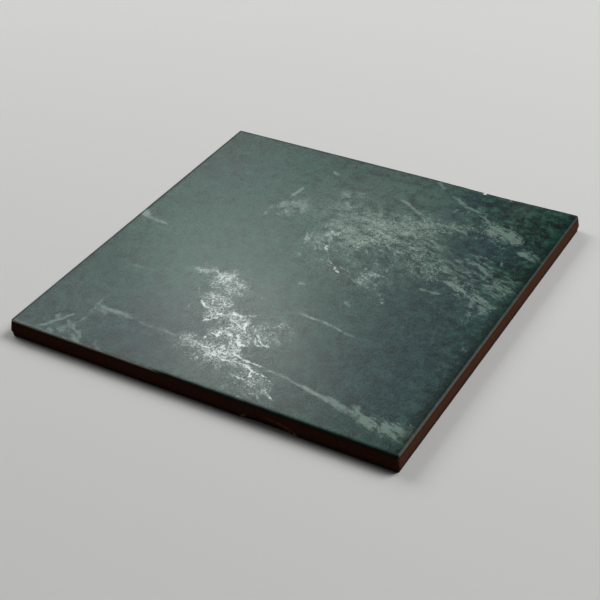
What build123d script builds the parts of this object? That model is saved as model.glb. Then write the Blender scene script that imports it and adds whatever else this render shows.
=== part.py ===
from build123d import *
import os

# A square dry-pressed floor tile, fired in one piece, lying on its keyed back with the glazed face up.
# Millimetres. The origin is the middle of the plane that the back rests on, +Z points out of the glazed face,
# and the four sides face along X and Y.

# Overall size
tile_side = 200.0        # across the sides at their widest line, the shoulder
tile_thickness = 9.0     # from the back's lands to the glazed face
corner_radius = 1.2      # plan rounding of the upright corners, the same at every level

# Section of the sides, from the back up
foot_height = 1.4        # upright band just above the back
foot_inset = 0.45        # how far that band stands in from the shoulder
shoulder_height = 3.2    # height of the widest line, where the die's two halves met
face_inset = 0.75        # how far each side leans in from the shoulder to the face
back_edge_radius = 0.4   # worn rounding of the lower edge
arris_radius = 0.9       # rounding of the glazed edge

# Keyed back: square pockets that leave one connected grid of lands for the adhesive bed
key_pocket = 18.0        # side of a pocket at its mouth
key_rib = 5.0            # land between neighbouring pockets
key_margin = 9.0         # least land left between the outer pockets and the edge
key_depth = 0.8
key_corner_radius = 2.0
key_draft_angle = 25.0   # slope of the pocket walls, in degrees, so that the punch lifts out clean

# Each level of the section is a height and how far the outline stands in from the shoulder there.
section_levels = [
    (0.0, foot_inset),
    (foot_height, foot_inset),
    (shoulder_height, 0.0),
    (tile_thickness, face_inset),
]

# The pockets fill the back in whole rows, as many as the margins leave room for.
back_side = tile_side - 2 * foot_inset
key_pitch = key_pocket + key_rib
key_rows = int((back_side - 2 * key_margin + key_rib) // key_pitch)

with BuildPart() as tile:
    # Pressed blank: the outline stacked at each level and joined by straight walls.
    for height, inset in section_levels:
        with BuildSketch(Plane.XY.offset(height)):
            level_side = tile_side - 2 * inset
            RectangleRounded(level_side, level_side, corner_radius)
    loft(ruled=True)

    # Glazed arris round the face, and the softer lower edge round the back.
    fillet(tile.faces().sort_by(Axis.Z)[-1].edges(), arris_radius)
    fillet(tile.faces().sort_by(Axis.Z)[0].edges(), back_edge_radius)

    # Keying pockets, narrowing from the mouth up.
    with BuildSketch(Plane.XY):
        with GridLocations(key_pitch, key_pitch, key_rows, key_rows):
            RectangleRounded(key_pocket, key_pocket, key_corner_radius)
    extrude(amount=key_depth, taper=key_draft_angle, mode=Mode.SUBTRACT)

tile.part.label = "tile"

os.makedirs("parts", exist_ok=True)
export_step(tile.part, "parts/tile.step")
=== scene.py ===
# %% [markdown]
# # A dark green glazed tile
# The real tile is one pressed and fired slab. A red-brown biscuit carries a thin coat of pale slip, and
# over the slip lies a dark green glaze printed with a stone pattern. The CAD part gives the slab its true
# size, so the first step is to load that frame and read the size from it. Everything below is in metres, in
# the same frame, with the glazed face up.

# %% Load the frame
import math

import bmesh
import bpy
import numpy as np
from mathutils import Matrix, Vector, noise


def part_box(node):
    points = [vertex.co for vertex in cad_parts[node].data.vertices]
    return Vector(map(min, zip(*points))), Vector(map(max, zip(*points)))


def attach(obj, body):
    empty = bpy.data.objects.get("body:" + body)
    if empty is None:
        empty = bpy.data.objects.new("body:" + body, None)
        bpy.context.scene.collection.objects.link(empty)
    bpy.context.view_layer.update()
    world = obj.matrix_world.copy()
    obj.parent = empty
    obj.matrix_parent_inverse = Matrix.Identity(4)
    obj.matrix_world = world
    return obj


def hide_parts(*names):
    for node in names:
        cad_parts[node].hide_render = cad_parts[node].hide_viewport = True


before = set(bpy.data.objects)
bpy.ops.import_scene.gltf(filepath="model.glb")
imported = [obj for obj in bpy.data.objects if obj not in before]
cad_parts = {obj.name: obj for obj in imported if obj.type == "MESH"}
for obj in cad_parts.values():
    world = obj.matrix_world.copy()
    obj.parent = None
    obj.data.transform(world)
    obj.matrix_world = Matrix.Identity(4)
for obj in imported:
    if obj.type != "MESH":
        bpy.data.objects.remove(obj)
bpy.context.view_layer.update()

MM = 0.001
tile_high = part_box("tile")[1]
half_side = tile_high.x
face_height = tile_high.z
print(f"CAD tile: {2 * half_side / MM:.1f} mm square, {face_height / MM:.1f} mm thick")

# %% [markdown]
# ## The pressed blank
# Dry clay powder is squeezed between two punches in a steel die, so the sides lean: they are widest at a
# shoulder low down, where the two halves of the die met, and stand in at the foot and at the face. A cube
# can become that blank with a bevel on its upright corners, a few level cuts and a small shift of every cut
# towards the middle. Cutting level by level keeps each height of the section a plain named size.

# %% Press the blank
CORNER_RADIUS = 1.2 * MM
FOOT_HEIGHT = 1.4 * MM
FOOT_INSET = 0.45 * MM
SHOULDER_HEIGHT = 3.2 * MM
FACE_INSET = 0.75 * MM
ROW_HEIGHT = 0.6 * MM
TOUCH = 0.0001 * MM


def section_inset(z):
    """How far the side stands in from the shoulder line at height z."""
    return np.interp(z, [FOOT_HEIGHT, SHOULDER_HEIGHT, face_height], [FOOT_INSET, 0.0, FACE_INSET])


def cut(mesh, faces, point, normal):
    """Cuts the given faces along a plane, in a fixed order, so that every run makes the same mesh."""
    edges = dict.fromkeys(e for f in faces for e in f.edges)
    corners = dict.fromkeys(v for f in faces for v in f.verts)
    geometry = [*corners, *edges, *faces]
    bmesh.ops.bisect_plane(mesh, geom=geometry, dist=TOUCH, plane_co=point, plane_no=normal)


blank = bmesh.new()
slab_size = Matrix.Diagonal((2 * half_side, 2 * half_side, face_height, 1))
bmesh.ops.create_cube(blank, size=1.0, matrix=Matrix.Translation((0, 0, face_height / 2)) @ slab_size)
upright = [e for e in blank.edges if abs(e.verts[0].co.z - e.verts[1].co.z) > face_height / 2]
bmesh.ops.bevel(
    blank, geom=upright, affect="EDGES", offset=CORNER_RADIUS, segments=5, profile=0.5, material=-1
)

below_shoulder = [FOOT_HEIGHT / 2, FOOT_HEIGHT, (FOOT_HEIGHT + SHOULDER_HEIGHT) / 2]
above_shoulder = np.arange(SHOULDER_HEIGHT, face_height - 2 * ROW_HEIGHT, ROW_HEIGHT)
for level in [*below_shoulder, *above_shoulder]:
    cut(blank, list(blank.faces), (0, 0, level), (0, 0, 1))
for v in blank.verts:
    lean = 1 - section_inset(v.co.z) / half_side
    v.co.x *= lean
    v.co.y *= lean
print(f"blank: {len(blank.faces)} faces, {len(below_shoulder) + len(above_shoulder)} levels")

# %% [markdown]
# ## Rounded edges
# Glaze is drawn back from a sharp edge in the kiln, so the edge of the face, the arris, is fired slightly
# round, and the lower edge is rubbed round in handling. Both are bevels of a whole ring of edges. The
# bevel's offset is the length of the tangent on each face, so the wanted radius is turned into an offset
# with the angle between the side and the face.

# %% Round the arris and the lower edge
ARRIS_RADIUS = 0.9 * MM
LOWER_RADIUS = 0.4 * MM


def round_ring(mesh, height, offset, segments):
    """Rounds every edge that lies at one height."""
    ring = [e for e in mesh.edges if all(abs(v.co.z - height) < TOUCH for v in e.verts)]
    bmesh.ops.bevel(
        mesh, geom=ring, affect="EDGES", offset=offset, segments=segments, profile=0.5, material=-1
    )


side_angle = math.pi / 2 + math.atan(FACE_INSET / (face_height - SHOULDER_HEIGHT))
round_ring(blank, face_height, ARRIS_RADIUS / math.tan(side_angle / 2), 6)
round_ring(blank, 0.0, LOWER_RADIUS, 3)
print(f"face between the sides: {2 * (half_side - FACE_INSET) / MM:.1f} mm, {len(blank.faces)} faces")

# %% [markdown]
# ## A fine grid for wear and painting
# The wear along the edges and the painted stone pattern both need points to work on. Two cuts in each
# direction set a square field just inside the arris, then one subdivide with grid fill turns the field and
# the long strips round it into small squares. The big face underneath is taken away first and filled again
# afterwards, so that it stays one plain face.

# %% Lay the grid
FIELD = 97.5 * MM
GRID_STEP = 0.78 * MM
FLAT = 0.001 * MM


def back_faces():
    """The faces that lie in the plane of the back."""
    return [f for f in blank.faces if f.normal.z < -0.99 and abs(f.calc_center_median().z) < FLAT]


bmesh.ops.delete(blank, geom=back_faces(), context="FACES_ONLY")
for place in (-FIELD, FIELD):
    cut(blank, list(blank.faces), (place, 0, 0), (1, 0, 0))
    cut(blank, list(blank.faces), (0, place, 0), (0, 1, 0))
long_edges = [e for e in blank.edges if e.calc_length() > 1.9 * FIELD]
squares = round(2 * FIELD / GRID_STEP)
bmesh.ops.subdivide_edges(blank, edges=long_edges, cuts=squares - 1, use_grid_fill=True)
back_outline = [e for e in blank.edges if e.is_boundary]
bmesh.ops.holes_fill(blank, edges=back_outline, sides=0)
print(f"grid: {squares} squares along a side, {len(back_outline)} edges round the back")

# %% [markdown]
# ## The keyed back
# The lower punch leaves shallow square pockets, which give the adhesive something to grip. This side can't
# be seen in the photo, so it is finished plainly, as most pressed tiles are. Cutting the back along the
# middles of the lands gives one square per pocket. Each square is inset to the pocket's mouth, its corners
# are rounded, and a second inset sinks it with sloped walls.

# %% Sink the pockets
POCKET = 18.0 * MM
RIB = 5.0 * MM
POCKET_ROWS = 8
POCKET_DEPTH = 0.8 * MM
POCKET_CORNER = 2.0 * MM
POCKET_SLOPE = math.radians(25.0)

blank.normal_update()
for line in range(POCKET_ROWS + 1):
    place = (line - POCKET_ROWS / 2) * (POCKET + RIB)
    cut(blank, back_faces(), (place, 0, 0), (1, 0, 0))
    cut(blank, back_faces(), (0, place, 0), (0, 1, 0))
keyed = POCKET_ROWS / 2 * (POCKET + RIB)
middles = [(f, f.calc_center_median()) for f in back_faces()]
pockets = [f for f, middle in middles if max(abs(middle.x), abs(middle.y)) < keyed]
bmesh.ops.inset_individual(blank, faces=pockets, thickness=RIB / 2, use_even_offset=True)
mouth_corners = [v for f in pockets for v in f.verts]
bmesh.ops.bevel(
    blank, geom=mouth_corners, affect="VERTICES", offset=POCKET_CORNER, segments=4, profile=0.5, material=-1
)
mouth_area = (POCKET - POCKET_CORNER) ** 2
floors = [f for f in back_faces() if len(f.verts) > 12 and f.calc_area() > mouth_area]
wall_width = POCKET_DEPTH * math.tan(POCKET_SLOPE)
bmesh.ops.inset_individual(
    blank, faces=floors, thickness=wall_width, depth=-POCKET_DEPTH, use_even_offset=True
)
print(f"back: {len(pockets)} squares, {len(floors)} pockets sunk {POCKET_DEPTH / MM:.1f} mm")

# %% [markdown]
# ## Wear and damage
# The photo shows a used tile: the edges wander a little, the far edge is worn down towards one end, two
# small chips show pale slip there, and a shell-shaped flake with curved ripples has left the near side at
# the bottom. Each is a small inward move of the points that are already there, so the slab stays one closed
# piece inside its CAD size. The chips and the flake are also noted on the points, because the finish
# changes there too.

# %% Wear the edges
FIELD_EDGE = FIELD / MM
EDGE_BAND = 95.0
LOWER_SIDE, UPPER_SIDE = 0.9, 5.0
WANDER = 0.10 * MM
WORN_FROM, WORN_TO, WORN_DEPTH = 16.0, 99.0, 0.55 * MM
CHIPS = [(49.6, 98.0, 1.1, 1.0), (64.0, 97.8, 0.8, 0.35)]
CHIP_DEPTH = 0.2 * MM
FLAKE_MIDDLE, FLAKE_HALF_LENGTH, FLAKE_HEIGHT, FLAKE_DEPTH = 38.8, 14.0, 4.8, 0.75 * MM

flake_layer = blank.verts.layers.float.new("flake")
shell_layer = blank.verts.layers.float.new("shell")
chip_layer = blank.verts.layers.float.new("chip")


def past_field(c):
    """How far a place lies outside the square field, with its sign."""
    return math.copysign(max(abs(c) - FIELD_EDGE, 0), c)


def let_edge_wander(v, x, y, z):
    outward = Vector((past_field(x), past_field(y), 0))
    if outward.length > 0 and z > LOWER_SIDE:
        share = 0.5 + 0.5 * noise.noise(Vector((x, y, z * 2)) * 0.35)
        v.co -= outward.normalized() * min(max(share, 0), 1) * WANDER


def wear_far_edge(v, x, y, z):
    if y > EDGE_BAND and z > UPPER_SIDE:
        along = min(max((x - WORN_FROM) / (WORN_TO - WORN_FROM), 0), 1)
        worn = math.sin(math.pi * along) ** 2 * (0.8 + 0.4 * noise.noise(Vector((x * 0.15, 3, 0))))
        v.co.y -= WORN_DEPTH * worn * min((y - EDGE_BAND) / 3, 1)
        v.co.z -= WORN_DEPTH * 0.5 * worn * min((y - EDGE_BAND) / 4, 1)


def break_chips(v, x, y, z):
    for chip_x, chip_y, reach, paleness in CHIPS:
        near = 1 - math.hypot(x - chip_x, y - chip_y) / reach
        if near > 0 and z > UPPER_SIDE:
            v[chip_layer] = min(near * 2.5, 1) * paleness
            v.co.z -= CHIP_DEPTH * min(near * 2, 1)


def strike_flake(v, x, y, z):
    if y < -EDGE_BAND:
        reach = math.hypot((x - FLAKE_MIDDLE) / FLAKE_HALF_LENGTH, z / FLAKE_HEIGHT)
        v[shell_layer] = reach
        if reach < 1:
            hollow = (1 - reach ** 2) ** 0.5 + 0.12 * math.cos(reach * 22) * (1 - reach)
            v.co.y += FLAKE_DEPTH * hollow * min((-y - EDGE_BAND) / 3, 1)
            v[flake_layer] = min((1 - reach) * 6, 1)


for v in blank.verts:
    x, y, z = v.co / MM
    for wear in (let_edge_wander, wear_far_edge, break_chips, strike_flake):
        wear(v, x, y, z)
print(f"worn: {sum(v[flake_layer] > 0 for v in blank.verts)} points in the flake,",
      f"{sum(v[chip_layer] > 0 for v in blank.verts)} in the chips")

# %% [markdown]
# ## From workbench to object
# So far the tile lies on bmesh's workbench. An object needs a mesh, so the points and faces are copied into
# one. A fired surface has no facets: smooth shading blends them, and edges that turn by more than 50
# degrees, such as the rims of the pockets, stay crisp.

# %% Make the object
bmesh.ops.recalc_face_normals(blank, faces=blank.faces)
tile_mesh = bpy.data.meshes.new("glazed_tile")
blank.to_mesh(tile_mesh)
blank.free()
tile_piece = bpy.data.objects.new("glazed_tile", tile_mesh)
bpy.context.scene.collection.objects.link(tile_piece)
tile_mesh.polygons.foreach_set("use_smooth", [True] * len(tile_mesh.polygons))
tile_mesh.set_sharp_from_angle(angle=math.radians(50))
triangles = sum(len(p.vertices) - 2 for p in tile_mesh.polygons)
print(f"tile: {len(tile_mesh.vertices)} points, {triangles} triangles")

# %% [markdown]
# ## A map for the finish
# When the finish is stored as pictures, a flat layout decides how sharp they are. The face gets most of
# the sheet, the four sides become strips beside it and the back gets a small square, because it is plain.
# The way a face looks tells which of them it belongs to.

# %% Lay out the map
MARGIN = 0.005
FACE_SHARE = 0.8
BACK_START, BACK_SHARE = 0.82, 0.17
NEAR_STRIP, FAR_STRIP, LEFT_STRIP, RIGHT_STRIP = 0.82, 0.87, 0.92, 0.96
STRIP_WIDTH = 0.03


def on_sheet(normal, x, y, z):
    """Where a point lies on the sheet."""
    across, up, rise = (x / half_side + 1) / 2, (y / half_side + 1) / 2, z / face_height
    if normal.z > 0.3:
        return MARGIN + FACE_SHARE * across, MARGIN + FACE_SHARE * up
    if normal.z < -0.3:
        return BACK_START + BACK_SHARE * across, MARGIN + BACK_SHARE * up
    if abs(normal.y) > abs(normal.x):
        strip = NEAR_STRIP if normal.y < 0 else FAR_STRIP
        return MARGIN + FACE_SHARE * across, strip + STRIP_WIDTH * rise
    strip = LEFT_STRIP if normal.x < 0 else RIGHT_STRIP
    return MARGIN + FACE_SHARE * up, strip + STRIP_WIDTH * rise


layout = tile_mesh.uv_layers.new(name="OFBake")
for polygon in tile_mesh.polygons:
    normal = polygon.normal
    for loop in polygon.loop_indices:
        corner = tile_mesh.vertices[tile_mesh.loops[loop].vertex_index].co
        layout.data[loop].uv = on_sheet(normal, *corner)
print(f"map: {len(layout.data)} corners, face {FACE_SHARE} of the sheet wide")

# %% [markdown]
# ## Dabs: where each kind of marking lies
# The printed pattern has no rule: threads of white lustre tangle near the front, mint streaks and long
# ripples spread over the far right, and the ground turns from moss green to slate. As a decorator would, it
# is laid on in dabs, one by one. Each dab is a place on the face in millimetres, a reach and a strength.
# Dabs only say where a kind of marking lies, and the shader later breaks them up into threads and grain.

# %% List the dabs
DABS = {
    # Loose white threads of lustre.
    "lace": [
        (-42, -25, 5, 0.4), (-33, -25, 7, 0.5), (-24, -27, 7, 0.55), (-15, -30, 5, 0.45),
        (-27, -43, 6, 0.8), (-17, -44, 6, 0.7), (-18, -54, 6, 0.8), (-6, -51, 7, 0.8), (0, -58, 8, 0.65),
        (9, -61, 6, 0.3), (16, -63, 5, 0.3), (-8, -63, 6, 0.8), (4, -69, 6, 0.8), (-14, -75, 6, 0.7),
        (-2, -77, 7, 0.9), (9, -77, 6, 0.6), (19, -80, 6, 0.5), (27, -84, 5, 0.4), (17, -86, 6, 0.4),
        (-5, -83, 6, 0.15), (14, -51, 8, 0.4), (-30, -32, 6, 0.4), (-19, -35, 5, 0.45), (33, -91, 5, 0.4),
        (-20, -74, 5, 0.6), (-10, 20, 5, 0.45), (0, 28, 5, 0.5), (14, 27, 5, 0.6), (13, 5, 5, 0.4),
        (5, 10, 4, 0.4), (34, 7, 5, 0.4), (28, 1, 6, 0.45), (42, -5, 8, 0.3), (5, 45, 9, 0.35),
        (18, 46, 8, 0.35), (-2, 35, 7, 0.4), (20, 37, 7, 0.4), (32, 44, 7, 0.35), (33, 34, 7, 0.35),
        (46, 30, 8, 0.25), (57, 23, 7, 0.2),
    ],
    # Grainy haze round the markings.
    "haze": [
        (12, 10, 26, 0.4), (10, 62, 22, 0.15), (-8, 46, 14, 0.5), (20, 48, 14, 0.7), (8, 44, 12, 0.6),
        (28, 42, 13, 0.75), (45, 32, 13, 0.8), (58, 23, 11, 0.75), (75, 16, 8, 0.8), (90, 13, 7, 0.5),
        (38, 52, 9, 0.7), (96, 20, 6, 0.35), (-7, 21, 8, 0.6), (13, 28, 8, 0.85), (0, 34, 8, 0.7),
        (36, 60, 9, 0.5), (70, 67, 9, 0.9), (54, 78, 9, 0.4), (54, 62, 8, 0.6), (-5, 58, 12, 0.25),
        (-14, 66, 7, 0.4), (70, 90, 12, 0.2), (92, 92, 8, 0.2), (-32, 42, 11, 0.8), (-43, -26, 7, 0.65),
        (-28, -27, 9, 0.9), (-16, -31, 6, 0.7), (86, -87, 8, 0.6), (-74, -92, 8, 0.4), (48, -28, 12, 0.35),
        (14, -52, 13, 0.55), (0, -78, 18, 0.5), (30, -88, 10, 0.4), (-22, -78, 8, 0.35), (90, -40, 14, 0.3),
        (33, 2, 12, 0.55), (-96, 4, 6, 0.7), (86, 0, 8, 0.5), (20, -92, 12, 0.4), (-66, -74, 8, 0.4),
    ],
    # Pale mint streaks.
    "mint": [
        (68, 67, 6, 0.7), (76, 67, 6, 0.9), (82, 63, 4, 0.8), (52, 79, 6, 0.4), (63, 74, 5, 0.4),
        (45, 61, 6, 0.5), (33, 60, 8, 0.3), (56, 62, 5, 0.5), (5, 45, 7, 0.45), (17, 46, 7, 0.5),
        (33, 48, 6, 0.5), (14, 28, 5, 0.65), (0, 33, 7, 0.45), (-9, 19, 5, 0.5), (-2, 16, 5, 0.35),
        (11, 6, 5, 0.45), (28, 35, 8, 0.35), (50, 24, 7, 0.45), (58, 22, 6, 0.45), (69, 17, 6, 0.65),
        (76, 15, 6, 0.65), (84, 14, 6, 0.6), (90, 8, 6, 0.55), (94, 20, 5, 0.5), (71, -84, 5, 0.75),
        (78, -86, 5, 0.85), (87, -87, 5, 0.9), (95, -87, 6, 0.95), (88, 55, 4, 0.95), (76, 55, 4, 0.4),
        (68, 90, 8, 0.2), (80, 86, 8, 0.2), (-30, 48, 6, 0.4), (-34, 35, 6, 0.4), (28, 0, 5, 0.25),
        (34, 8, 4, 0.3), (41, -4, 5, 0.25), (50, 42, 9, 0.35), (95, -3, 5, 0.5), (94, -25, 6, 0.4),
        (-95, 3, 4, 0.8), (-64, -73, 4, 0.6), (-73, -95, 4, 0.6), (47, -73, 5, 0.35),
    ],
    # Long ripples on the right.
    "ripple": [
        (72, 38, 9, 0.7), (78, 29, 9, 0.9), (91, 26, 8, 1.0), (64, 30, 8, 0.7), (50, 36, 9, 0.8),
        (92, 19, 7, 0.9), (56, 26, 8, 0.6), (36, 38, 8, 0.6), (44, 44, 7, 0.8),
    ],
    # Greener ground.
    "moss": [
        (-62, 8, 44, 0.9), (-60, 62, 36, 0.6), (-48, -30, 28, 0.7), (-12, 20, 24, 0.5), (-15, -5, 26, 0.5),
        (-70, -72, 34, 0.35), (24, -40, 26, 0.3),
    ],
    # Paler, softer ground.
    "mist": [
        (-2, 44, 10, 0.5), (10, 46, 9, 0.6), (20, 47, 6, 0.5), (33, 47, 6, 0.5), (72, 90, 10, 0.35),
        (50, 26, 12, 0.3), (8, 66, 26, 0.7), (-14, 54, 18, 0.5), (36, 58, 14, 0.6), (8, 88, 20, 0.4),
        (28, 84, 14, 0.4), (20, 14, 22, 0.35), (16, -50, 14, 0.2), (-8, -34, 14, 0.4), (-84, -66, 26, 0.35),
    ],
    # Blue-grey ground.
    "slate": [
        (-75, -80, 30, 0.55), (-40, -77, 22, 0.5), (60, 86, 12, 0.8), (68, 51, 15, 1.0), (50, 90, 8, 0.9),
        (80, -28, 32, 0.8), (41, 70, 7, 0.9), (80, -62, 26, 0.7), (70, 4, 18, 0.5), (29, 24, 8, 0.7),
        (95, 65, 8, 0.6), (80, 38, 15, 1.0), (88, 52, 10, 0.6), (-75, 58, 12, 0.4), (40, 5, 14, 0.4),
    ],
    # Emerald ground along the far right and the right edge.
    "deep": [
        (96, 80, 16, 1.0), (78, 82, 11, 0.9), (90, 68, 10, 0.8), (70, 96, 9, 0.5), (99, 40, 12, 0.9),
        (99, -10, 8, 0.5), (85, 95, 10, 0.7), (57, 97, 7, 0.6), (99, -55, 9, 0.5), (99, 10, 5, 0.7),
        (100, 60, 6, 0.8), (100, -35, 5, 0.7), (100, -75, 5, 0.6), (97, -96, 5, 0.7), (88, -99, 4, 0.5),
        (88, 36, 13, 0.75), (62, 88, 16, 0.6), (84, 62, 8, 0.3), (-92, 72, 22, 0.3), (-60, 28, 24, 0.12),
        (92, -24, 20, 0.25),
    ],
}
print("dabs:", {name: len(dabs) for name, dabs in DABS.items()})

# %% [markdown]
# ## Strokes: the lines that can be followed
# Some lines of the pattern can be followed with the eye: single bright threads in the near cluster, a long
# vein along the near edge, forked veins at the left corner and a spray of them over the far right. Each
# stroke is a width, a strength and a few places that the brush passes through, in millimetres.

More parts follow.
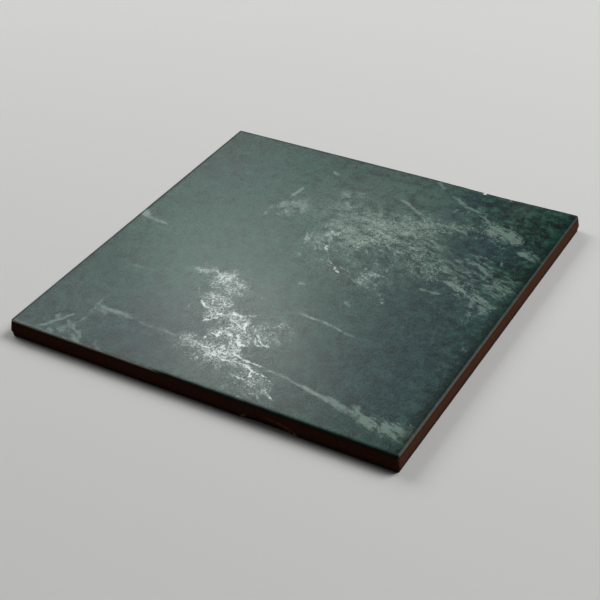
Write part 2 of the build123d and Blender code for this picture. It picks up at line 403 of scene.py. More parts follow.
# %% List the strokes
STROKES = {
    # Single bright threads, most of them in the near cluster.
    "thread": [
        (0.8, 0.6, [(-30, -22), (-24, -24), (-20, -28), (-12, -29)]),
        (0.8, 0.5, [(-40, -22), (-33, -25), (-25, -31), (-21, -33)]), (0.7, 0.5, [(-8, -32), (-5, -33)]),
        (0.6, 0.5, [(-39, -29), (-37, -36), (-33, -42), (-29, -47), (-23, -52), (-20, -54)]),
        (0.7, 0.6, [(-33, -51), (-32, -54), (-31, -57)]), (0.7, 0.6, [(-31, -39), (-27, -38), (-23, -41)]),
        (0.8, 0.8, [(-26, -40), (-24, -44), (-22, -49), (-18, -52)]),
        (0.7, 0.75, [(-30, -45), (-26, -49), (-21, -50)]),
        (0.7, 0.8, [(-20, -40), (-17, -44), (-16, -46), (-14, -43), (-11, -43)]),
        (0.7, 0.6, [(-17, -37), (-18, -40)]),
        (0.7, 0.7, [(-16, -45), (-12, -46), (-10, -49), (-6, -48), (-1, -46), (4, -43)]),
        (0.8, 0.8, [(-20, -50), (-16, -52), (-12, -51), (-8, -49), (-3, -48)]),
        (0.7, 0.8, [(-16, -50), (-15, -55), (-19, -59), (-20, -61)]),
        (0.8, 0.9, [(-8, -52), (-3, -55), (2, -58), (4, -61)]), (0.8, 0.9, [(-2, -50), (0, -55), (3, -58)]),
        (0.7, 0.7, [(0, -52), (5, -54)]),
        (0.8, 0.75, [(4, -56), (8, -58), (11, -60), (14, -63), (19, -62)]),
        (0.8, 0.7, [(5, -58), (9, -61), (13, -65), (18, -63)]),
        (0.7, 0.7, [(-12, -60), (-5, -58), (0, -60)]), (0.8, 0.9, [(-10, -61), (-8, -66), (-5, -65)]),
        (0.7, 0.8, [(-12, -65), (-6, -66)]),
        (1.0, 1.0, [(-6, -60), (-2, -64), (0, -68), (4, -71), (8, -73)]),
        (1.0, 1.0, [(0, -60), (2, -64), (5, -68), (8, -72)]), (0.8, 0.8, [(2, -65), (6, -67), (11, -67)]),
        (0.8, 0.9, [(-13, -68), (-10, -70)]), (0.7, 0.7, [(7, -62), (9, -66)]),
        (0.8, 0.9, [(-15, -74), (-8, -75), (0, -75), (8, -74), (15, -76), (26, -76)]),
        (0.8, 0.9, [(-6, -78), (3, -79), (10, -78), (18, -78)]),
        (0.7, 0.7, [(-9, -76), (-2, -77), (4, -77), (12, -76)]),
        (0.8, 0.9, [(10, -77), (16, -79), (22, -81), (29, -81)]),
        (0.9, 0.9, [(18, -80), (20, -83), (22, -85)]), (0.8, 0.8, [(14, -85), (17, -87), (21, -86)]),
        (0.8, 0.7, [(-8, -83), (-3, -84)]), (0.7, 0.5, [(28, -80), (31, -84)]),
        (0.8, 0.7, [(30, -88), (36, -92), (38, -94)]), (0.7, 0.6, [(11, -89), (13, -88)]),
        (0.6, 0.4, [(-14, -81), (-12, -85), (-10, -86)]), (0.8, 0.85, [(12, 6), (14, 3), (17, 1)]),
        (0.6, 0.6, [(5, 12), (7, 8), (10, 7), (13, 6)]), (0.8, 0.6, [(-4, 15), (-2, 13)]),
        (0.6, 0.55, [(-14, 27), (-11, 21), (-8, 14)]), (0.6, 0.6, [(-4, 34), (-2, 30), (0, 26), (0, 22)]),
        (0.6, 0.65, [(-1, 23), (1, 18), (4, 14), (6, 10)]), (0.6, 0.5, [(-10, 24), (-8, 18), (-6, 13)]),
        (0.8, 0.6, [(-4, 32), (2, 30)]), (0.8, 0.6, [(11, 26), (14, 28), (18, 27)]),
        (0.8, 0.5, [(12, 24), (16, 25)]), (0.7, 0.4, [(23, 3), (27, 3), (29, 1)]),
        (0.7, 0.4, [(29, 2), (30, -3)]), (0.7, 0.4, [(32, 9), (35, 8), (37, 5)]),
        (0.7, 0.3, [(31, -3), (38, -3), (43, -5)]), (0.7, 0.45, [(44, -7), (47, -12)]),
        (0.8, 0.4, [(34, 15), (37, 12)]), (0.8, 0.4, [(0, 50), (7, 48), (15, 49)]),
        (0.8, 0.4, [(-2, 44), (6, 42)]),
    ],
    # Longer veins: along the near edge, at the left corner and over the far right.
    "vein": [
        (1.5, 0.95, [(-71, -69), (-66, -72), (-58, -72.5), (-48, -73)]),
        (1.2, 0.6, [(-50, -73), (-36, -74), (-22, -74)]), (1.3, 0.7, [(-66, -75), (-61, -75.5)]),
        (1.1, 0.65, [(20, -76), (32, -77.5), (41, -78.5), (50, -80)]),
        (1.7, 0.8, [(42, -79), (52, -80.8), (62, -82.5)]),
        (2.4, 0.85, [(54, -81.3), (64, -83.5), (74, -86.5)]),
        (1.2, 0.65, [(-70, -57), (-71, -66), (-70, -78), (-70, -86), (-72, -93), (-74, -99)]),
        (1.2, 0.95, [(-75, -80), (-79, -87), (-81, -91), (-82, -95), (-85, -99)]),
        (1.2, 1.0, [(-68, -94), (-64, -97), (-60, -99)]), (1.2, 0.8, [(-76, -86), (-73, -90), (-75, -96)]),
        (1.4, 0.7, [(-82, -83), (-82, -89)]), (1.2, 0.85, [(-71, -90), (-65, -93)]),
        (1.2, 0.85, [(-66, -90), (-62, -96)]), (1.4, 0.6, [(-56, -93), (-49, -99)]),
        (1.4, 0.7, [(-80, -96), (-76, -98)]),
        (1.3, 1, [(12.5, 73.5), (17, 71.5), (22, 69), (27, 66), (33, 64), (38, 61.5)]),
        (1.6, 0.65, [(22, 98), (31, 91)]),
        (1.4, 0.85, [(35, 89), (44, 84), (49, 81), (55, 80), (61, 80.5)]),
        (1.7, 0.95, [(58, 78), (62, 73), (66, 70), (74, 69)]), (1.4, 0.65, [(44, 79), (43, 73)]),
        (1.6, 0.75, [(45, 67), (49, 62), (53, 59), (59, 62)]), (1.7, 0.75, [(36, 62), (44, 60), (51, 61)]),
        (1.4, 1, [(84, 56), (88, 56), (91, 53), (97, 50)]), (1.4, 0.85, [(91, 57), (101, 51)]),
        (1.6, 0.65, [(0, 50), (8, 50), (16, 49)]), (1.6, 0.65, [(29, 56), (32, 50), (36, 46)]),
        (1.4, 0.75, [(38, 47), (46, 45), (52, 40)]), (1.0, 0.65, [(64, 43), (72, 44), (81, 41)]),
        (1.0, 0.65, [(82, 45), (83, 40)]), (1.0, 0.75, [(60, 37), (66, 36)]),
        (1.4, 0.95, [(66, 36), (73, 36.5), (79, 33), (84, 31)]),
        (1.0, 0.65, [(62, 30), (70, 29), (76, 25)]), (1.0, 0.65, [(69, 40), (77, 39), (83, 36)]),
        (1.0, 0.65, [(63, 33), (72, 31), (80, 28), (86, 27)]), (1.0, 0.65, [(83, 29), (91, 31), (98, 33)]),
        (1.0, 0.55, [(59, 27), (67, 27), (74, 23)]), (1.0, 0.65, [(86, 20), (93, 19), (99, 16)]),
        (1.0, 0.65, [(62, 22), (71, 22), (80, 20)]), (1.0, 0.55, [(40, 38), (48, 36), (54, 32)]),
        (1.0, 0.55, [(42, 34), (50, 31), (57, 28)]), (1.0, 0.55, [(47, 45), (54, 43), (60, 39)]),
        (1.4, 0.85, [(79, 24), (90, 24.5), (101, 22)]), (1.4, 0.95, [(81, 15), (83, 8), (84, 2)]),
        (1.4, 0.85, [(83, 13), (90, 9), (97, 8)]), (1.4, 0.75, [(85, 10), (90, 3)]),
        (1.4, 0.75, [(55, 8), (61, 7), (68, 8)]),
        (1.0, 0.95, [(-6, 35), (-2, 29), (0, 24), (1, 19), (4, 14)]),
        (1.0, 0.95, [(-15, 27), (-11, 20), (-9, 14)]), (1.4, 0.75, [(10, 26), (14, 28), (18, 26)]),
        (1.4, 0.65, [(13, 41), (15, 33), (16, 27)]), (1.2, 0.5, [(31, 10), (34, 8), (37, 6)]),
        (1.4, 0.65, [(34, 15), (37, 12)]), (1.2, 0.5, [(23, 3), (29, 2), (31, -1), (30, -5)]),
        (1.4, 0.55, [(32, -2), (41, -2)]), (1.4, 0.65, [(44, -7), (47, -12)]),
        (1.4, 0.55, [(27, 18), (31, 16)]), (1.4, 0.55, [(83, 0), (87, -5), (88, -11)]),
        (1.6, 0.8, [(-16, 66), (-9, 63)]), (1.4, 0.7, [(-13, 69), (-5, 70)]),
        (1.2, 0.75, [(12, -35), (28, -35), (36, -37), (49, -40)]), (1.4, 0.55, [(30, -17), (35, -20)]),
        (1.4, 0.95, [(-37, 62), (-38, 49)]), (1.4, 0.8, [(-42, 41), (-42, 29)]),
        (1.4, 0.8, [(-30, 56), (-28, 45), (-25, 37)]),
        (1.4, 0.95, [(-104, 6), (-96, 3), (-88, 1), (-78, 1)]), (1.4, 0.75, [(-92, -4), (-90, -5)]),
        (1.4, 0.55, [(-80, -38), (-60, -37)]), (1.4, 0.65, [(-31, 83), (-25, 80)]),
        (1.4, 0.65, [(3, -14), (9, -14)]), (1.4, 0.65, [(-7, 9), (-7, 5)]),
    ],
}
print("strokes:", {name: len(strokes) for name, strokes in STROKES.items()})

# %% [markdown]
# ## Painting on the points
# Painting here means storing one value per kind of marking on every point of the mesh, which the shader can
# read by name. A drawn line shakes and thins out, so the places drift a little by noise, the pressure
# varies along the way, and each stroke tapers to its ends. A fixed seed makes the hand shake alike in every
# run. Marks that overlap cover each other like thin coats of paint.

# %% Paint the face
HAND_SEED = 5

points = np.empty(len(tile_mesh.vertices) * 3)
tile_mesh.vertices.foreach_get("co", points)
face_points = points.reshape(-1, 3) * (1, 1, 0) / MM


def shake(spot):
    """A slow and a quick shake of the hand, in millimetres."""
    return 1.2 * noise.noise_vector(spot * 0.11) + 0.8 * noise.noise_vector(spot * 0.45)


noise.seed_set(HAND_SEED)
spots = [Vector(p) for p in face_points]
places = (face_points + np.array([shake(spot) for spot in spots]))[:, :2]
pressure = np.array([1 + 0.5 * noise.noise(spot * 0.3) for spot in spots])


def dab(x, y, reach, strength):
    """A round touch of the brush."""
    return strength * np.exp(-(np.linalg.norm(places - (x, y), axis=1) / reach) ** 2)


def stroke(width, strength, route):
    """A drawn line along a route of straight runs, thinner towards both ends."""
    corners = np.array(route, float)
    lengths = np.linalg.norm(np.diff(corners, axis=0), axis=1)
    travelled = np.concatenate([[0], np.cumsum(lengths)]) / lengths.sum()
    mark = np.zeros(len(places))
    for start, stop, at_start, at_stop in zip(corners[:-1], corners[1:], travelled[:-1], travelled[1:]):
        run = stop - start
        share = np.clip((places - start) @ run / (run @ run), 0, 1)
        gap = np.linalg.norm(places - start - share[:, None] * run, axis=1)
        way = at_start + share * (at_stop - at_start)
        taper = np.clip(np.minimum(way, 1 - way) * 5, 0.05, 1) ** 0.5
        mark = np.maximum(mark, strength * taper * np.exp(-(gap / (width * taper)) ** 2))
    return np.clip(mark * pressure, 0, 1)


def paint(name, marks):
    """Lays marks over one another and stores the result on the points."""
    bare = np.ones(len(places))
    for mark in marks:
        bare *= 1 - mark
    tile_mesh.attributes.new(name, "FLOAT", "POINT").data.foreach_set("value", 1 - bare)
    print(f"painted {name}, {100 * np.mean(bare < 0.5):.1f} per cent of the points")


for name, dabs in DABS.items():
    paint(name, (dab(*values) for values in dabs))
for name, strokes in STROKES.items():
    paint(name, (stroke(*values) for values in strokes))

# %% [markdown]
# ## Sums in the shader
# The finish is worked out with many small sums. A class that wraps one shader socket lets them be written
# as ordinary Python: adding two wrapped sockets makes a Math node. The same class makes every other node
# from its type, settings and inputs.

# %% Shader sums
tile_finish = bpy.data.materials.new("glazed_tile")
tile_finish.use_nodes = True


class Signal:
    """A shader socket that can be used in sums."""

    tree = tile_finish.node_tree

    def __init__(self, socket):
        self.socket = socket

    @classmethod
    def node(cls, kind, settings, inputs, output=0):
        made = cls.tree.nodes.new(kind)
        for name, value in settings.items():
            setattr(made, name, value)
        for name, value in inputs.items():
            cls.feed(made.inputs[name], value)
        return cls(made.outputs[output])

    @classmethod
    def feed(cls, socket, value):
        if isinstance(value, Signal):
            cls.tree.links.new(value.socket, socket)
        else:
            socket.default_value = value

    def sum(self, operation, first, second):
        return Signal.node("ShaderNodeMath", {"operation": operation}, {0: first, 1: second})

    def __add__(self, other):
        return self.sum("ADD", self, other)

    def __radd__(self, other):
        return self.sum("ADD", other, self)

    def __sub__(self, other):
        return self.sum("SUBTRACT", self, other)

    def __rsub__(self, other):
        return self.sum("SUBTRACT", other, self)

    def __mul__(self, other):
        return self.sum("MULTIPLY", self, other)

    def __rmul__(self, other):
        return self.sum("MULTIPLY", other, self)

    def __neg__(self):
        return 0.0 - self

    def __abs__(self):
        return self.sum("ABSOLUTE", self, 0.0)

    def most(self, other):
        """The greater of two values."""
        return self.sum("MAXIMUM", self, other)

    def ramp(self, start, stop):
        """0 before start, 1 after stop, smooth between."""
        inputs = {"Value": self, "From Min": start, "From Max": stop}
        return Signal.node("ShaderNodeMapRange", {"interpolation_type": "SMOOTHSTEP"}, inputs)

    def moved(self, other):
        return Signal.node("ShaderNodeVectorMath", {"operation": "ADD"}, {0: self, 1: other})

    def scaled(self, factor):
        return Signal.node("ShaderNodeVectorMath", {"operation": "SCALE"}, {0: self, "Scale": factor})

    def over(self, under, share):
        """This colour laid over another, by share."""
        return Signal.node("ShaderNodeMix", {"data_type": "RGBA"}, {0: share, 6: under, 7: self}, 2)


print("shader sums ready for", tile_finish.name)

# %% [markdown]
# ## Places, paint and colours
# Three things feed every sum: the painted values, noise, and colours. Noise needs a place, so places on the
# tile are given in millimetres, and a slow swirl bends them into a flow, because the pattern of the real
# print bends as if it had run. Colours are named as they are read off a screen and turned into the light a
# shader takes.

# %% Places, paint and colours
SWIRL_REACH = 7.0


def painted(name):
    """A value that was painted on the points."""
    return Signal.node("ShaderNodeAttribute", {"attribute_name": name}, {}, "Fac")


def speckle(where, per_mm, detail=2.0, roughness=0.5, distortion=0.0, output="Fac"):
    """A soft noise with so many waves to the millimetre."""
    inputs = {"Vector": where, "Scale": per_mm, "Detail": detail, "Roughness": roughness}
    inputs["Distortion"] = distortion
    return Signal.node("ShaderNodeTexNoise", {"noise_dimensions": "3D"}, inputs, output)


def linear(level):
    """A screen level, 0 to 255, as linear light."""
    share = level / 255
    return share / 12.92 if share <= 0.04045 else ((share + 0.055) / 1.055) ** 2.4


def colour(red, green, blue):
    levels = {"Red": linear(red), "Green": linear(green), "Blue": linear(blue)}
    return Signal.node("ShaderNodeCombineColor", {}, levels)


place_mm = Signal.node("ShaderNodeTexCoord", {}, {}, "Object").scaled(1 / MM)
swirl = speckle(place_mm, 0.07, 3.0, output="Color").moved((-0.5, -0.5, -0.5)).scaled(SWIRL_REACH)
flow = place_mm.moved(swirl)
print("places flow by up to", SWIRL_REACH / 2, "mm")

# %% [markdown]
# ## Noises for stone
# Stone and lustre look like several grains at once. Thin lines appear where a noise passes its middle
# value, and a noise that is stretched along a slant gives threads, wisps or long ripples. Noises of other
# sizes give clumps, torn patches, fibres, flecks and a fine grain, which break the markings up later.

# %% Make the noises
def spread(noise_value, gain):
    """A noise stretched about its middle."""
    return (noise_value - 0.5) * gain + 0.5


def hairline(noise_value, width):
    """Thin lines where a noise passes its middle value."""
    return 1 - abs(noise_value - 0.5).ramp(0.0, width)


def slanted(angle, along, across):
    """Places on the face, turned to a slant and stretched along it."""
    inputs = {"Vector": flow, "Rotation": (0.0, 0.0, math.radians(angle)), "Scale": (along, across, 1.0)}
    return Signal.node("ShaderNodeMapping", {"vector_type": "TEXTURE"}, inputs)


steep_net = hairline(speckle(slanted(-48.0, 1.7, 0.95), 0.34, 3.0, 0.55, 0.5), 0.075)
loose_net = hairline(speckle(flow, 0.4, 3.0, 0.6, 0.6), 0.07)
tangle = steep_net.most(loose_net)
fine_net = hairline(speckle(slanted(-28.0, 2.4, 0.9), 0.5, 2.0, 0.5, 0.8), 0.16)
ripples = hairline(speckle(slanted(-14.0, 12.0, 1.7), 0.45, 2.0, 0.5, 0.4), 0.07)
wisp = hairline(speckle(slanted(-50.0, 3.4, 0.85), 0.55, 2.0, 0.5, 0.6), 0.15)
crumble = spread(speckle(flow, 0.7, 2.0, 0.5), 2.0)
clump = spread(speckle(slanted(-28.0, 1.9, 0.8), 0.55, 2.0, 0.5, 1.2), 2.4)
fleck = spread(speckle(flow.moved((3.0, 17.0, 50.0)), 1.25, 2.0, 0.55), 2.6)
torn = spread(speckle(flow.moved((31.0, 7.0, 3.0)), 0.17, 4.0, 0.6), 2.2)
fibre = spread(speckle(slanted(-22.0, 6.0, 1.4), 0.6, 3.0, 0.55), 2.2)
grain = speckle(place_mm, 1.6, 3.0, 0.6)
print("noises made,", len(Signal.tree.nodes), "nodes so far")

# %% [markdown]
# ## Markings of the print
# Now the painted values meet the noises. A painted value plus a little noise, put through a ramp, keeps the
# middle of a stroke and frays its edge into grains. White lustre is made of drawn threads, tangles, wisps
# and crumbs. The duller print is made of haze, ripples, mint streaks and veins. The strongest marking wins
# at each place, as one layer of ink hides the next.

# %% Break up the markings
lace, thread, vein = painted("lace"), painted("thread"), painted("vein")
haze, mint, ripple = painted("haze"), painted("mint"), painted("ripple")

thread_body = (thread + 0.5 * (crumble - 0.5) + 0.5 * (fleck - 0.5)).ramp(0.32, 0.9)
thread_mark = thread_body * thread.ramp(0.05, 0.3) * (0.35 + 0.65 * wisp.most(tangle))
tangle_body = (lace + 0.4 * (torn - 0.5) + 0.4 * (fleck - 0.5)).ramp(0.35, 0.9)
tangle_mark = tangle_body * tangle * crumble.ramp(0.15, 0.65)
wisp_mark = (lace + 0.6 * (torn - 0.5)).ramp(0.35, 0.85) * wisp * crumble.ramp(0.3, 0.7)
crumb_body = (lace * 0.8 + 0.6 * (clump - 0.5) + 0.8 * (fleck - 0.5)).ramp(0.72, 0.86)
crumb_mark = crumb_body * (0.5 + 0.5 * wisp)
lustre = thread_mark.most(tangle_mark * 0.9).most(wisp_mark * 0.5).most(crumb_mark * 0.4)

density = haze * (0.1 + 0.75 * torn + 0.55 * fibre) * (1 - 0.45 * ripple)
haze_soft = density.ramp(0.0, 1.1)
haze_body = (density + 0.5 * (clump - 0.5) + 1.1 * (fleck - 0.5)).ramp(0.62, 0.8)
haze_grain = haze_body * density.ramp(0.1, 0.35)
haze_net = tangle.most(fine_net) * density.ramp(0.25, 0.7) * crumble.ramp(0.3, 0.7)
ripple_mark = ripples * (ripple + 0.4 * (torn - 0.5)).ramp(0.3, 0.8) * crumble.ramp(0.1, 0.6)
mint_fray = 0.3 * (torn - 0.5) + 0.7 * (fibre - 0.5) + 0.3 * (clump - 0.5) + 0.3 * (fleck - 0.5)
mint_mark = (mint + mint_fray).ramp(0.44, 0.84)
vein_fray = 0.3 * (crumble - 0.5) + 0.3 * (fibre - 0.5) + 0.45 * (fleck - 0.5)
vein_mark = (vein + vein_fray).ramp(0.25, 0.9) * vein.ramp(0.1, 0.35)
print_mark = (haze_soft * 0.08).most(haze_grain * 0.9).most(haze_net * 0.75)
print_mark = print_mark.most(ripple_mark * 0.6).most(mint_mark * 0.8).most(vein_mark * 0.65)
print("markings broken up,", len(Signal.tree.nodes), "nodes so far")

# %% [markdown]
# ## The green glaze
# The ground of the glaze is a dark grey-green. It turns to moss green on the left, to slate blue and
# emerald on the right, and misty in between. Torn patches, a mottle and a fine grain lighten and darken it,
# and olive flecks lie in the slate. Each is one thin coat over the last, so they stand in a list from the
# bottom up. The print and the lustre come last, as they do in the works.

# %% Colour the glaze
cloud = speckle(flow, 0.035, 4.0, 0.6)
mottle = spread(speckle(flow.moved((5.0, 40.0, 9.0)), 0.42, 4.0, 0.65), 2.4)
emerald = colour(2, 68, 49).over(colour(0, 22, 16), torn.ramp(0.4, 0.85))

glaze = colour(44, 78, 70).over(colour(32, 58, 53), cloud.ramp(0.3, 0.7))
glaze_coats = [
    (colour(20, 94, 79), painted("moss") * 0.8),
    (colour(36, 58, 71), painted("slate") * 0.85),
    (emerald, painted("deep") * 0.95),
    (colour(112, 138, 128), painted("mist") * (0.3 + 0.3 * torn)),
    (colour(64, 102, 90), torn.ramp(0.45, 0.95) * 0.45),
    (colour(6, 28, 25), (1 - torn).ramp(0.45, 0.9) * 0.5),
    (colour(86, 120, 106), mottle.ramp(0.5, 0.95) * 0.32),
    (colour(6, 30, 27), (1 - mottle).ramp(0.5, 0.95) * 0.4),
    (colour(84, 118, 106), grain.ramp(0.5, 0.75) * 0.32),
    (colour(8, 26, 23), (1 - grain).ramp(0.5, 0.75) * 0.42),
    (colour(96, 108, 80), fleck.ramp(0.85, 1.1) * painted("slate") * 0.3),
    (colour(124, 149, 137), print_mark * 0.95),
    (colour(210, 226, 219), lustre * 0.85),
]
for coat_colour, share in glaze_coats:
    glaze = coat_colour.over(glaze, share)
print("glaze mixed from", len(glaze_coats), "coats")

# %% [markdown]
# ## Where glaze and slip stop
# Below the arris the glaze stops in a ragged line, and under it a thin line of pale slip shows. The height
# on the side tells glaze, slip and biscuit apart, with noise for the raggedness. Along part of the near
# side the glaze has run over the arris and hides the slip. The far sides are taken to be covered in the
# same way. Thick glaze looks darker, so a dark green rim follows the right and near edges of the face.
# Along the far arris the same dark green is a painted dark reflection.

# %% Find glaze, slip and rim
GLAZE_STOPS = 8.72
SLIP_STOPS = 7.85
RUN_FROM, RUN_TO = -22.0, -12.0


def axis(name):
    """One of the three measures of a place, in millimetres."""
    return Signal.node("ShaderNodeSeparateXYZ", {}, {"Vector": place_mm}, name)


along_x, along_y, height = axis("X"), axis("Y"), axis("Z")
ragged = speckle(place_mm, 0.45, 4.0, 0.65) - 0.5
near_side = (-along_y).ramp(98.0, 98.6)
glaze_ran = along_x.ramp(RUN_FROM, RUN_TO)
far_sides = (-along_x).ramp(98.0, 98.6).most(along_y.ramp(97.0, 98.0))
covered = (near_side * glaze_ran).most(far_sides)
glaze_level = height + ragged * 0.4 - near_side * 0.12 + covered * 0.9
glazed = glaze_level.ramp(GLAZE_STOPS - 0.1, GLAZE_STOPS + 0.1)
slip_level = height + ragged * 0.4 - near_side * 0.2 - covered * 0.3
slipped = slip_level.ramp(SLIP_STOPS - 0.15, SLIP_STOPS + 0.15)

right_rim = (along_x + ragged * 7.0).ramp(92.0, 98.6)
near_rim = (ragged * 3.0 - along_y).ramp(97.2, 99.0) * (0.3 + 0.7 * glaze_ran)
# Painted dark reflection: the far arris is painted dark green, as it looks when it mirrors dark
# surroundings.
far_arris_painted_reflection = (-along_x).most(along_y).ramp(97.0, 98.2) * 0.8
dark_rim_and_painted_reflection = right_rim.most(near_rim).most(far_arris_painted_reflection)
print(f"glaze stops at {GLAZE_STOPS} mm, slip at {SLIP_STOPS} mm")

# %% [markdown]
# ## Biscuit and slip
# The biscuit is red-brown and sandy. A dark seam lies just under the slip, and the flake is darker too. The
# foot is darkened as painted shade. Where the shell-shaped flake broke away, a few curved ridges catch the
# light, and pale arcs at set distances from the middle of the break are painted on them as a painted
# highlight. Slip is painted palest on the near side, a painted highlight where the arris catches the light.
# In the chips the slip is laid bare.

# %% Mix the sides
SEAM_HEIGHT = 7.5

sand = speckle(place_mm, 1.1, 5.0, 0.65)
shell = painted("shell")


def ridge_highlight(reach, fade):
    """A painted highlight along a thin curved ridge at one distance from the middle of the flake."""
    return 1 - abs(shell - reach).ramp(0.02, fade)


right_ridge_highlights = ridge_highlight(0.93, 0.1).most(0.7 * ridge_highlight(0.7, 0.08)) * along_x.ramp(32.0, 47.0)
ridge_highlights = right_ridge_highlights.most(ridge_highlight(0.95, 0.1) * (-along_x).ramp(-29.0, -25.5))
biscuit = colour(103, 52, 16).over(colour(72, 34, 9), sand.ramp(0.3, 0.7))
for coat_colour, share in [
    (colour(40, 22, 14), (1 - abs(height - SEAM_HEIGHT).ramp(0.1, 0.6)) * 0.5),
    # Painted shade: the biscuit darkens towards the foot, next to the floor.
    (colour(44, 24, 17), (-height).ramp(-2.6, -0.2) * 0.75),
    (colour(44, 24, 18), painted("flake") * sand.ramp(0.35, 0.65) * 0.6),
    # Painted highlight: pale arcs where the ridges of the flake catch the light.
    (colour(236, 160, 110), ridge_highlights * near_side * sand.ramp(0.35, 0.6) * 0.95),
]:
    biscuit = coat_colour.over(biscuit, share)
slip = colour(84, 86, 80).over(colour(118, 118, 110), along_y.ramp(-60.0, 80.0))
# Painted highlight: the slip on the near side is painted paler, where the arris catches the light.
slip = colour(186, 184, 172).over(slip, near_side)
rim_colour = colour(0, 46, 35).over(colour(2, 24, 20), torn.ramp(0.4, 0.8))

side_colour = slip.over(biscuit, slipped)
# The dark rim is thick glaze on the right and near edges, and a painted dark reflection on the far arris.
face_colour = rim_colour.over(glaze, dark_rim_and_painted_reflection * 0.85)
tile_colour = face_colour.over(side_colour, glazed)
tile_colour = colour(228, 226, 214).over(tile_colour, painted("chip"))
print("sides mixed,", len(Signal.tree.nodes), "nodes so far")

# %% [markdown]
# ## How it shines
# A satin glaze spreads a lamp into a soft veil, while the lustre threads are smooth and flash white where
# they mirror it. Bare slip and biscuit hardly shine, nor does the rolled edge. So roughness and coat follow
# the same masks as the colours, and a slight bump lifts the threads and pits the biscuit. The tile then
# takes the place of the plain CAD solid.

# %% Wire the finish
shiny = lustre.most(print_mark * 0.7)
rolled = (-height).ramp(-8.99, -8.85).most(far_arris_painted_reflection)
bare_rough = 0.92 - 0.12 * slipped
glaze_rough = 0.28 + 0.10 * (grain - 0.5) - 0.06 * shiny + rolled * 0.5
roughness = glaze_rough * glazed + bare_rough * (1 - glazed)
coat = (0.05 + 0.95 * shiny) * glazed * (1 - rolled.most(dark_rim_and_painted_reflection))
relief = (0.6 * shiny + 0.25 * grain) * glazed + (sand * 1.2) * (1 - glazed)
bump = Signal.node("ShaderNodeBump", {}, {"Strength": 0.3, "Distance": 0.2 * MM, "Height": relief}, "Normal")
finish_values = {
    "Base Color": tile_colour,
    "Roughness": roughness,
    "Coat Weight": coat,
    "Normal": bump,
    "Coat Roughness": 0.16,
    "Coat IOR": 1.6,
    "IOR": 1.5,
}
for socket, value in finish_values.items():
    Signal.feed(tile_finish.node_tree.nodes["Principled BSDF"].inputs[socket], value)
tile_mesh.materials.append(tile_finish)
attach(tile_piece, "root")
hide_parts("tile")
print("finish:", len(tile_finish.node_tree.nodes), "nodes")

# %% [markdown]
# ## The floor
# A plain floor shows the outline and takes the shadow. It looks pale to the camera, so that the dark tile
# stands out, but it counts as dark for every other ray. A pale floor would throw so much light on the sides
# that the red-brown biscuit would look washed out.

# %% Lay the floor
floor_mesh = bpy.data.meshes.new("floor")
floor_build = bmesh.new()
bmesh.ops.create_grid(floor_build, x_segments=1, y_segments=1, size=2.0)
floor_build.to_mesh(floor_mesh)
floor_build.free()
floor = bpy.data.objects.new("floor", floor_mesh)
bpy.context.scene.collection.objects.link(floor)

floor_paint = bpy.data.materials.new("floor_paint")
floor_paint.use_nodes = True
Signal.tree = floor_paint.node_tree
seen = Signal.node("ShaderNodeLightPath", {}, {}, "Is Camera Ray")
floor_tones = {0: seen, 6: (0.1, 0.1, 0.1, 1), 7: (0.72, 0.72, 0.71, 1)}
floor_tone = Signal.node("ShaderNodeMix", {"data_type": "RGBA"}, floor_tones, 2)
for socket, value in {"Base Color": floor_tone, "Roughness": 0.9}.items():
    Signal.feed(floor_paint.node_tree.nodes["Principled BSDF"].inputs[socket], value)
floor_mesh.materials.append(floor_paint)
print("floor:", [round(c, 2) for c in floor.dimensions])

# %% [markdown]
# ## The lamps
# A broad lamp behind on the right and one on the left light the face and throw soft shadows to the front
# and right. A large dim panel low behind the tile is mirrored by the satin glaze as a soft veil. A small
# bright panel above it sits just where the near part of the face mirrors it, which makes the threads flash.
# A faint even light keeps the shaded sides from going black.

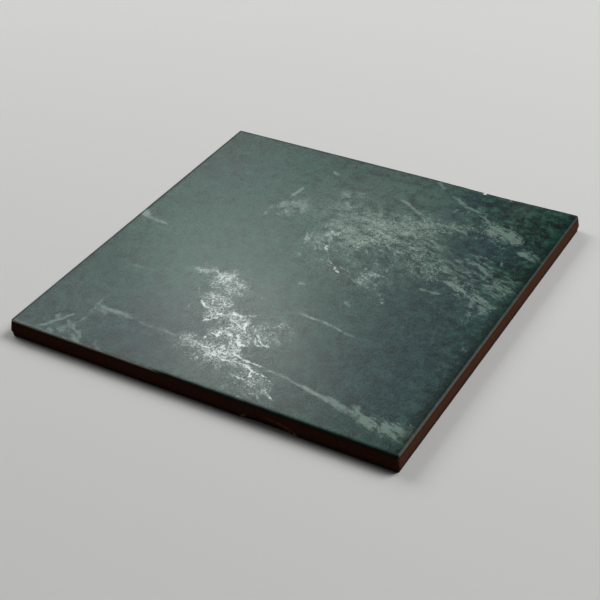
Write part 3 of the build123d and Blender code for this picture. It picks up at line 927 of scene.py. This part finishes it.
# %% Hang the lamps
def lamp(name, at, aim, width, length, radiance, turn=0.0):
    """A soft rectangular lamp whose face has the given brightness."""
    data = bpy.data.lights.new(name, "AREA")
    data.shape = "RECTANGLE"
    data.size = width
    data.size_y = length
    data.energy = math.pi * width * length * radiance
    made = bpy.data.objects.new(name, data)
    bpy.context.scene.collection.objects.link(made)
    facing = (Vector(aim) - Vector(at)).to_track_quat("-Z", "Y").to_matrix().to_4x4()
    made.matrix_world = Matrix.Translation(at) @ facing @ Matrix.Rotation(turn, 4, "Z")


lamp("broad_lamp", (0.75, 0.75, 1.35), (0, 0, 0), 0.9, 0.9, 7.5)
lamp("left_lamp", (-1.3, 0.35, 1.05), (0, 0, 0), 0.8, 0.8, 5.0)
lamp("veil_panel", (-0.58, 0.64, 0.58), (0, -0.02, 0), 0.60, 0.55, 0.72, math.radians(33))
lamp("mirror_panel", (-0.56, 0.73, 0.73), (0, -0.05, 0), 0.20, 0.20, 4.0)
world = bpy.data.worlds.new("studio")
bpy.context.scene.world = world
world.use_nodes = True
world.node_tree.nodes["Background"].inputs["Color"].default_value = (1.0, 1.0, 1.0, 1)
world.node_tree.nodes["Background"].inputs["Strength"].default_value = 0.045

# %% [markdown]
# ## The camera
# The photo was taken from above one corner with a longish lens. The corners and edges of the tile in the
# picture give the angles, the distance and a small tilt of the camera. Standard view keeps the colours as
# they were mixed.

# %% Place the camera
AZIMUTH, ELEVATION, ROLL = math.radians(31.676), math.radians(35.891), math.radians(2.712)
DISTANCE = 628.1 * MM
TARGET = Vector((11.58, -25.68, 9.0)) * MM
FOCAL_PIXELS, PICTURE_PIXELS = 1364.06, 600
SENSOR = 36.0

camera_data = bpy.data.cameras.new("photo_camera")
camera_data.sensor_width = SENSOR
camera_data.lens = SENSOR * FOCAL_PIXELS / PICTURE_PIXELS
camera = bpy.data.objects.new("photo_camera", camera_data)
bpy.context.scene.collection.objects.link(camera)
level_reach = math.cos(ELEVATION)
to_camera = Vector((math.sin(AZIMUTH) * level_reach, -math.cos(AZIMUTH) * level_reach, math.sin(ELEVATION)))
upright_view = to_camera.to_track_quat("Z", "Y").to_matrix().to_4x4()
camera_place = Matrix.Translation(TARGET + to_camera * DISTANCE)
camera.matrix_world = camera_place @ upright_view @ Matrix.Rotation(-ROLL, 4, "Z")
bpy.context.scene.camera = camera
bpy.context.scene.view_settings.view_transform = "Standard"
print("camera at", [round(c, 3) for c in camera.location])
